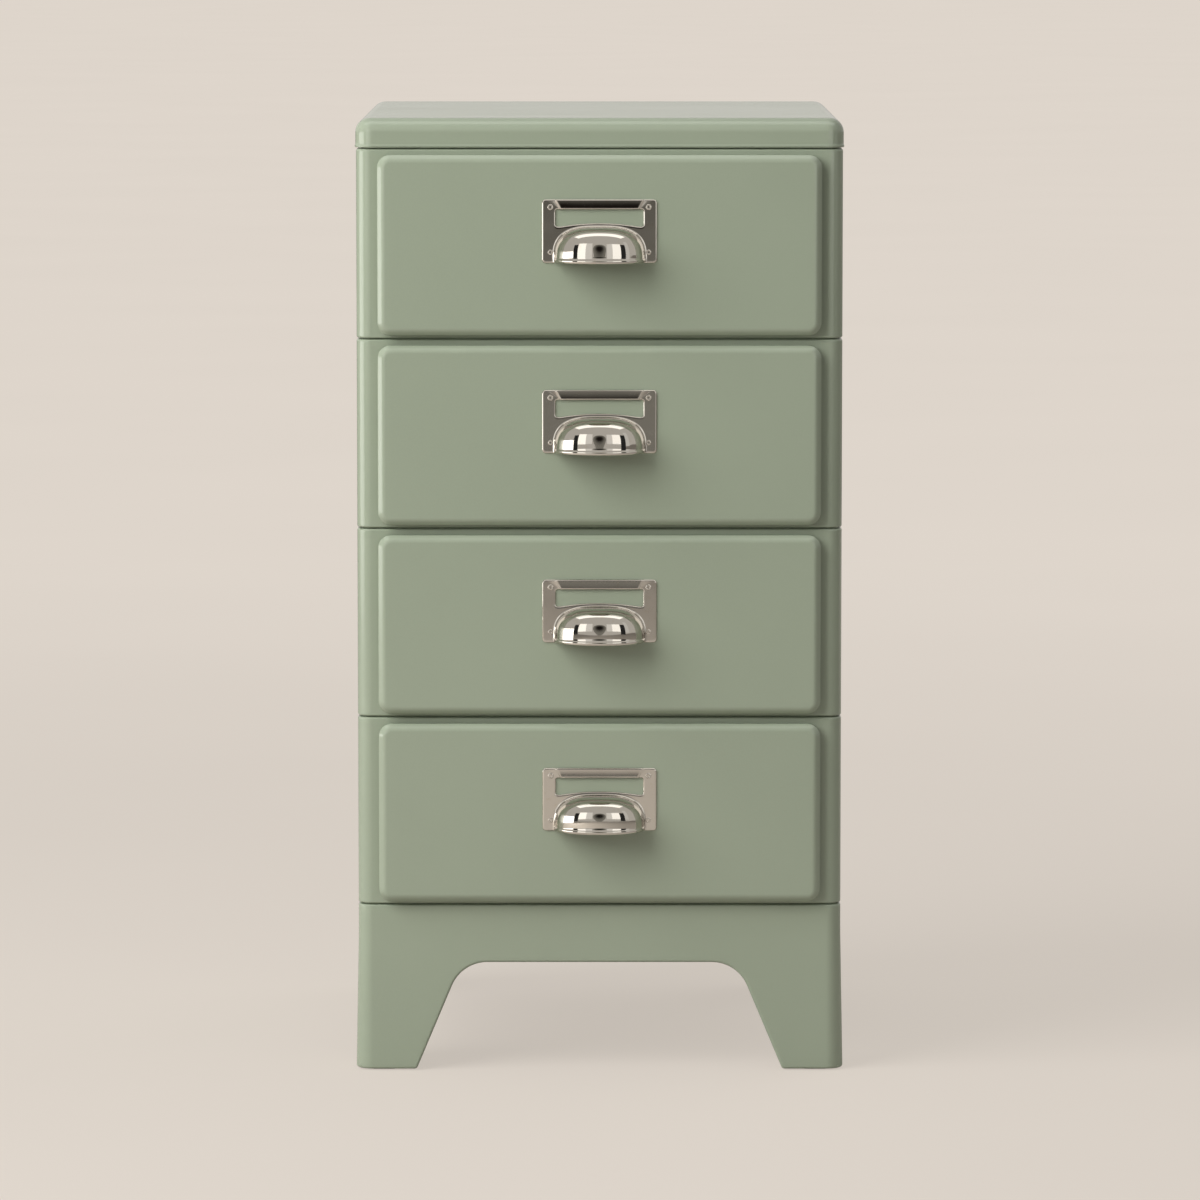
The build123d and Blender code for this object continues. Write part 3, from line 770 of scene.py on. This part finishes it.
def plate(thick, p, number):
    """Rows run from the outer edge to the window over the front, and back behind.

    Each row is start + (stop - start) * share. Above the window the strip's lift is added:
    rise^2 * (3 - 2 * rise), where rise goes from 0 to 1 up the slope at the strip's end, times
    0.78 at the plate's edge, which grows with share^2 to 1 at the window.
    """
    node = f"pull_plate_{number}"
    low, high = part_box(node)
    half = np.array([high.x, (high.z - low.z) / 2])
    window = np.array([p.window_width, p.window_height]) / 2
    slope_foot, slope_head, edge_lift = 0.98, 0.93, 0.78
    sides = np.linspace(-1, 1, 41)
    crease = np.linspace(slope_head, slope_foot, 11)
    over = np.concatenate([[-1.0], -crease[::-1], np.linspace(-0.9, 0.9, 41), crease, [1.0]])
    columns = Columns(10, land=0.0, stations={0: over, 1: sides, 2: sides, 3: sides})
    top = (abs(columns.sign[:, 0]) < 0.5) & (columns.sign[:, 1] > 0)
    edge = outline(columns, half, p.plate_corner)
    core, strip = half[0] - p.plate_corner, p.bridge_width / 2
    shares, spread = [-1, -slope_foot, slope_foot, 1], [-core, -strip, strip, core]
    edge[top, 0] = np.interp(columns.slide[top, 0], shares, spread)
    hole = outline(columns, window, 1.6 * MM)
    arch = np.clip(1 - (2 * hole[:, 0] / p.window_span) ** 2, 0, 1) * p.window_rise
    hole[:, 1] += p.window_raise + np.where(hole[:, 1] < 0, arch, 0.0)
    rise = np.clip((slope_foot - abs(columns.slide[:, 0])) / (slope_foot - slope_head), 0, 1)
    raised = p.bridge_lift * rise**2 * (3 - 2 * rise) * top

    front_rows, back_rows = 24, 14
    round_off = p.rim * (1 - on_circle(np.linspace(0, pi / 2, 8)))
    draw, drop = round_off[:, 0], round_off[:, 1]
    start, stop = edge - columns.normal * p.rim, hole + columns.normal * p.rim
    across = np.linspace(0, 1, front_rows + 2)[1:-1]
    behind = np.linspace(0, 1, back_rows)
    plan = np.concatenate(
        [
            edge - columns.normal * draw[:, None, None],
            start + (stop - start) * across[:, None, None],
            hole + columns.normal * draw[::-1, None, None],
            hole + (edge - hole) * behind[:, None, None],
        ]
    )
    front = [thick - drop, np.full(front_rows, thick), thick - drop[::-1]]
    out = np.concatenate([*front, np.zeros(back_rows)])
    share_in = np.linalg.norm(plan - edge, axis=-1) / np.linalg.norm(hole - edge, axis=-1)
    lift = raised * (edge_lift + (1 - edge_lift) * share_in**2)
    grid = np.concatenate([plan, (out[:, None] + lift)[..., None]], axis=-1)
    work = Work(facing(high.y, (high.z + low.z) / 2))
    work.add(grid, close_rows=True)
    work.piece(f"pull_plate_skin_{number}", "pull_nickel", node, number, smooth=50)


class CABINET_OT_pull_plates(CabinetOperator, bpy.types.Operator):
    """Stamps the pull plates: rounded rims, a card window and a raised strip for the card"""

    bl_idname = "cabinet.pull_plates"
    bl_label = "Pull Plates"

    def execute(self, context):
        for number in NUMBERS:
            plate(self.sheet.heavy_sheet, self.pull, number)
        return {"FINISHED"}


def shell(size_of, lean, rise):
    """Cup surface over plan angle (lean) and rise.

    x = a cos(lean)^e * r, depth = b sin(lean)^e * r and z = c * h, where e = 2/2.15,
    r = cos(rise)^(2/n) and h = sin(rise)^(2/n). n goes from 3 at the plate to 4.4 at the front,
    which squares the shoulder there.
    """
    a, b, c = size_of
    power = 2 / (3.0 + 1.4 * np.sin(lean) ** 2)
    r, h = np.cos(rise) ** power, np.sin(rise) ** power
    e = 2 / 2.15
    x = a * np.sign(np.cos(lean)) * abs(np.cos(lean)) ** e * r
    return np.stack([x, c * h, b * np.sin(lean) ** e * r], axis=-1)


def fillet(size_of, radius, count=161):
    """Rows along the cup's arch of a hollow fillet, over its angle q.

    arch + normal * R (1 - cos q), at depth R (1 - sin q). The arch is x = a cos(t)^(2/3) and
    z = c sin(t)^(2/3), taken at even distances along it.
    """
    a, _, c = size_of
    t = np.linspace(0, pi, 4001)
    sides = np.sign(np.cos(t)) * abs(np.cos(t)) ** (2 / 3)
    arch = np.column_stack([a * sides, c * np.sin(t) ** (2 / 3)])
    steps = np.linalg.norm(np.diff(arch, axis=0), axis=1)
    length = np.concatenate([[0], np.cumsum(steps)])
    even = np.linspace(0, length[-1], count)
    arch = np.column_stack([np.interp(even, length, arch[:, i]) for i in (0, 1)])
    normal = np.sign(arch) * (arch / (a, c)) ** 2 / (a, c)
    normal /= np.linalg.norm(normal, axis=1, keepdims=True)
    hollow = radius * (1 - on_circle(np.linspace(0, pi / 2, 10)))
    tuck, sink = -0.3 * MM, -0.02 * MM
    away, depth = np.vstack([hollow, [(radius, sink), (tuck, sink), (tuck, radius)]]).T
    flat = arch[:, None] + normal[:, None] * away[None, :, None]
    flat[..., 1] = np.maximum(flat[..., 1], 0.0)
    depth = np.broadcast_to(depth[None, :, None], (*flat.shape[:2], 1))
    return np.concatenate([flat, depth], axis=-1)


def cup(p, number):
    """Down the outside, over the lip and up the inside, with both ends closed at the plate.

    lean = pi (u - 0.11 sin 2 pi u) and rise = pi/2 (1 - (1 - t)^1.15) gather the grid where the
    shell turns fastest. The lip stands out by bead * sin(pi * share of its height)^0.8.
    """
    node = f"pull_cup_{number}"
    low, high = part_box(node)
    bead, crest, fullness = 0.5 * MM, 0.2 * MM, 0.8
    u, t = np.linspace(0, 1, 97), np.linspace(0, 1, 60)
    lean = (pi * (u - 0.11 * np.sin(2 * pi * u)))[None, :]
    rise = (pi / 2 * (1 - (1 - t) ** 1.15))[:, None] * np.ones_like(lean)
    outside = (high.x - bead, high.y - low.y - bead, high.z - low.z - crest)
    inside = tuple(side - p.cup_wall for side in outside)
    outer, inner = shell(outside, lean, rise[1:]), shell(inside, lean, rise[1::2])
    outer[..., 1] = np.maximum(outer[..., 1], p.lip)
    foot, inner_foot = (shell(sides, lean, rise[:1]) for sides in (outside, inside))

    roll = np.linspace(0, 1, 9)[:, None]
    swell = bead * np.sin(pi * roll) ** fullness
    lip = foot + foot / np.linalg.norm(foot, axis=-1, keepdims=True) * swell[..., None]
    lip[..., 1] = p.lip * (1 - roll)
    work = Work(facing(high.y, low.z))
    work.add(np.concatenate([outer[::-1], lip, inner_foot, inner]), close_columns=False)
    pick = np.linspace(0, len(outer) - 1, len(inner)).round().astype(int)
    for end in (0, -1):
        work.add(np.stack([outer[pick, end], inner[:, end]]), close_columns=False)
    work.add(fillet(outside, p.cup_fillet), caps=True)
    work.piece(f"pull_cup_skin_{number}", "pull_nickel", node, number, smooth=60)


class CABINET_OT_pull_cups(CabinetOperator, bpy.types.Operator):
    """Draws the cups: squared shoulders, an upright wall, a rolled lip and a fillet at the plate"""

    bl_idname = "cabinet.pull_cups"
    bl_label = "Pull Cups"

    def execute(self, context):
        for number in NUMBERS:
            cup(self.pull, number)
        return {"FINISHED"}


class CABINET_OT_rivets(CabinetOperator, bpy.types.Operator):
    """Sets four hollow rivets in every pull plate"""

    bl_idname = "cabinet.rivets"
    bl_label = "Rivets"

    def execute(self, context):
        """Turned heads: shares of the radius, and heights over the plate in millimetres."""
        head = [(1.0, 0.0), (0.98, 0.18), (0.86, 0.36), (0.68, 0.46), (0.5, 0.42), (0.4, 0.25)]
        head = np.array([*head, (0.38, -0.4), (0, -0.4)])
        spread, above, below, sunk = 34.1 * MM, 16.7 * MM, -14.6 * MM, 0.2 * MM
        for number in NUMBERS:
            low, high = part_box(f"pull_plate_{number}")
            work = Work(facing(high.y, (high.z + low.z) / 2))
            for x in (-spread, spread):
                for z, scale in ((above, 1.0), (below, 0.87)):
                    radius = self.pull.rivet_radius * scale
                    rings = head * (radius, MM * scale) + (0, self.sheet.heavy_sheet)
                    rings = np.vstack([[(0, sunk), (radius, sunk)], rings])
                    work.add(turned(x, z, rings, 32))
            work.piece(f"pull_rivets_{number}", "pull_nickel", drawer=number, smooth=70)
        return {"FINISHED"}


class CABINET_OT_stack_bolts(CabinetOperator, bpy.types.Operator):
    """Bolts lid, cases and base together through the corners of their flanges"""

    bl_idname = "cabinet.stack_bolts"
    bl_label = "Stack Bolts"

    def execute(self, context):
        """Turned parts: radius and distance from the flange in millimetres, at each seam."""
        s = self.sheet
        wide, deep, middle_y, *_ = span("case_1")
        seams = [(span(f"case_{number}")[4], s.sheet) for number in NUMBERS]
        seams.append((span("base")[4], s.heavy_sheet))
        nut = [(0, 3.5), (3.7, 3.5), (4.45, 3.1), (4.5, 2.9), (4.5, 1.0), (0, 1.0)]
        washer = [(0, 1.0), (5.2, 1.0), (5.5, 0.8), (5.5, 0.0), (0, 0.0)]
        thread = [(0, 6.5), (1.9, 6.5), (2.5, 6.0), (2.5, 3.0), (0, 3.0)]
        inset = 8.5 * MM
        places = [(x * (wide - inset), y * (deep - inset)) for x in (-1, 1) for y in (-1, 1)]
        work = Work(level(middle_y))
        for (seam, below), (x, y) in ((seam, place) for seam in seams for place in places):
            above = s.heavy_sheet if seam == seams[0][0] else s.sheet
            parts = [(nut, 6, above, 1), (washer, 24, above, 1), (nut, 6, below, -1)]
            parts += [(washer, 24, below, -1), (thread, 24, below, -1)]
            for rings, sides, start, way in parts:
                radius, rise = np.transpose(rings) * MM
                rings = np.column_stack([radius, seam + way * (start + rise)])
                work.add(turned(x, y, rings, sides))
        work.piece("stack_bolts", "runner_zinc", smooth=35)
        return {"FINISHED"}


# ---- carried-over nodes
class CABINET_OT_hardware(CabinetOperator, bpy.types.Operator):
    """Finishes the runners, slides, shoes and glides, and eases their edges"""

    bl_idname = "cabinet.hardware"
    bl_label = "Runners and Glides"

    def execute(self, context):
        kinds = (
            (("case_runner", "drawer_slide"), "runner_zinc", 0.25 * MM),
            (("front_shoes", "rear_shoes"), "shoe_nylon", 0.4 * MM),
            ("foot_glides", "glide_plastic", 0.15 * MM),
        )
        for name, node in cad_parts.items():
            for slot, ease in (kind[1:] for kind in kinds if name.startswith(kind[0])):
                node.data.materials.clear()
                node.data.materials.append(material_for(slot))
                weld = node.modifiers.new("weld", "WELD")
                weld.merge_threshold = 1e-5
                bevel = node.modifiers.new("ease", "BEVEL")
                bevel.width, bevel.segments = ease, 2
                bevel.limit_method, bevel.angle_limit = "ANGLE", radians(50)
        return {"FINISHED"}


# ---- studio
def sheet_of(name, corners):
    """A flat sheet of the studio, with the graph of its own new material."""
    mesh = bpy.data.meshes.new(name)
    mesh.from_pydata(corners, [], [tuple(range(len(corners)))])
    material = bpy.data.materials.new(name)
    graph = Graph(material)
    mesh.materials.append(material)
    return put(name, mesh), graph


def card(name, corners, colour, strength, centre_dark=None):
    """A glowing board that only polished surfaces see."""
    board, g = sheet_of(name, corners)
    tone = (*colour, 1.0)
    if centre_dark:
        middle, radius, dark = centre_dark
        measure = {"operation": "DISTANCE"}
        offset = g.add("ShaderNodeVectorMath", measure, {0: g.place(), 1: middle}, "Value")
        tone = g.blend(g.between(offset, radius * 0.25, radius), dark, colour)
    g.end(g.glow(tone, strength))
    for ray in ("camera", "diffuse", "transmission", "volume_scatter", "shadow"):
        setattr(board, f"visible_{ray}", False)


def softbox(name, direction, distance, width, power):
    """A square soft lamp that shines in the direction at the cabinet's middle."""
    data = bpy.data.lights.new(name, "AREA")
    data.size, data.energy = width, power
    lamp = put(name, data)
    middle, way = Vector((0.0, -0.17, 0.36)), Vector(direction).normalized()
    lamp.location = middle - way * distance
    lamp.rotation_euler = way.to_track_quat("-Z", "Y").to_euler()
    lamp.visible_glossy = False


def lay_floor(colour):
    """Paper floor: its own glow evens out what is seen, and it gives back less light."""
    near, far, side, given_back = -4.6, 60.0, 60.0, 0.62
    corners = [(-side, near, 0), (side, near, 0), (side, far, 0), (-side, far, 0)]
    floor, g = sheet_of("floor", corners)
    mottle = g.between(g.noise(1.5, 2.0), 0.3, 0.7)
    tone = g.blend(mottle, shade(colour, 0.995), shade(colour, 1.005))
    seen = g.ray("Camera")
    lit = g.blend(seen + g.ray("Glossy"), shade(colour, given_back), tone)
    matt = {"Base Color": lit, "Roughness": 0.9, "Specular IOR Level": 0.1}
    paper = g.add("ShaderNodeBsdfPrincipled", sockets=matt)
    away = g.add("ShaderNodeVectorMath", {"operation": "LENGTH"}, {0: g.place()}, "Value")
    own_glow = g.between(away, 0.5, 3.5, to_low=0.74, to_high=1.0)
    shares = {0: seen * own_glow, 1: paper, 2: g.glow(tone)}
    g.end(g.add("ShaderNodeMixShader", sockets=shares))


def set_world(colour):
    """Soft light all round, brighter in reflections; the camera sees the backdrop."""
    world = bpy.data.worlds.new("studio")
    bpy.context.scene.world = world
    g = Graph(world)
    lit = g.blend(g.ray("Glossy"), (0.32, 0.32, 0.32), (0.66, 0.635, 0.60))
    lit = g.blend(g.ray("Camera"), lit, colour)
    sky = g.add("ShaderNodeBackground", sockets={"Color": lit, "Strength": 1.0})
    g.add("ShaderNodeOutputWorld", sockets={"Surface": sky})


def set_camera():
    data = bpy.data.cameras.new("camera")
    data.lens, data.sensor_width, data.shift_x = 206.25, 36.0, 0.0004
    data.clip_start, data.clip_end = 0.1, 200.0
    camera = put("camera", data)
    tilt = 5.95
    camera.location = (0.0, -4.952, 0.831)
    camera.rotation_euler = (radians(90 - tilt), 0.0, 0.0)
    bpy.context.scene.camera = camera


class CABINET_OT_stage(bpy.types.Operator):
    """Sets the floor, the soft lamps, what the polished metal mirrors, and the camera"""

    bl_idname = "cabinet.stage"
    bl_label = "Studio"

    def execute(self, context):
        """Cards stand round the cabinet: radius * (sin, -cos) of the angle, between two heights."""
        backdrop = tuple(context.scene.cabinet_finish.backdrop)
        context.scene.view_settings.view_transform = "Standard"
        set_camera()
        lay_floor(backdrop)
        set_world(backdrop)
        softbox("key", (0.70, 0.50, -0.55), 2.8, 2.3, 89)
        softbox("back_fill", (-0.70, -0.65, -0.30), 4.0, 3.0, 32)

        y, z, reach = -5.2, 0.95, 1.0
        rim = on_circle(np.linspace(0, 2 * pi, 49)[:-1]) * reach
        disc = [(across, y, z + up) for across, up in rim]
        centre_dark = ((0.0, y, z + 0.1), reach, (0.015, 0.012, 0.010))
        card("dark_room", disc, (0.27, 0.26, 0.235), 1.0, centre_dark)
        white, black, middle_y = (1.0, 0.98, 0.95), (0.03, 0.03, 0.03), -0.2
        for name, start, stop, radius, low, high, colour, strength in (
            ("front_panel_left", -47, -27, 4.4, 0.35, 2.2, white, 1.9),
            ("front_inner_left", -27, -13, 4.4, 0.35, 2.2, white, 1.0),
            ("side_panel_left", -100, -60, 3.4, 0.0, 0.72, white, 4.2),
            ("front_inner_right", 13, 25, 4.4, 0.35, 2.0, white, 1.0),
            ("front_panel_right", 25, 46, 4.4, 0.35, 2.0, white, 1.7),
            ("side_panel_right", 60, 72, 3.6, 0.3, 2.4, white, 0.8),
            ("dark_gap_left", -60, -47, 4.2, 0.1, 1.8, black, 1.0),
            ("dark_gap_right", 46, 60, 4.2, 0.1, 1.8, black, 1.0),
        ):
            corners = [
                (radius * np.sin(radians(a)), middle_y - radius * np.cos(radians(a)), h)
                for a, h in ((start, low), (stop, low), (stop, high), (start, high))
            ]
            card(name, corners, colour, strength)
        side, near, far, height = 2.2, -1.1, 0.15, 3.0
        plan = (-side, near), (side, near), (side, far), (-side, far)
        overhead = [(x, y, height) for x, y in plan]
        card("overhead_panel", overhead, white, 2.0)
        return {"FINISHED"}


# ---- sidebar and start
class CABINET_PT_sidebar(bpy.types.Panel):
    """Lists the cabinet's pieces, sizes and finishes."""

    bl_idname = "CABINET_PT_sidebar"
    bl_label = "Steel Drawer Cabinet"
    bl_space_type = "VIEW_3D"
    bl_region_type = "UI"
    bl_category = "Cabinet"

    def draw(self, context):
        for operator in OPERATORS:
            self.layout.operator(operator.bl_idname)
        for name in GROUPS:
            box = self.layout.box()
            group = getattr(context.scene, name)
            for field in group.__annotations__:
                box.prop(group, field)


GROUPS = {
    "cabinet_sheet": CabinetSheet,
    "cabinet_base": CabinetBase,
    "cabinet_pull": CabinetPull,
    "cabinet_finish": CabinetFinish,
}
OPERATORS = (
    CABINET_OT_stage,
    CABINET_OT_lid,
    CABINET_OT_cases,
    CABINET_OT_base,
    CABINET_OT_drawer_fronts,
    CABINET_OT_trays,
    CABINET_OT_pull_plates,
    CABINET_OT_pull_cups,
    CABINET_OT_rivets,
    CABINET_OT_stack_bolts,
    CABINET_OT_hardware,
)


def register():
    for kind in (*GROUPS.values(), *OPERATORS, CABINET_PT_sidebar):
        bpy.utils.register_class(kind)
    for name, group in GROUPS.items():
        setattr(bpy.types.Scene, name, bpy.props.PointerProperty(type=group))


def unregister():
    for name in GROUPS:
        delattr(bpy.types.Scene, name)
    for kind in reversed((*GROUPS.values(), *OPERATORS, CABINET_PT_sidebar)):
        bpy.utils.unregister_class(kind)


def main():
    register()
    for operator in OPERATORS:
        group, name = operator.bl_idname.split(".")
        getattr(getattr(bpy.ops, group), name)()


if __name__ == "__main__":
    main()
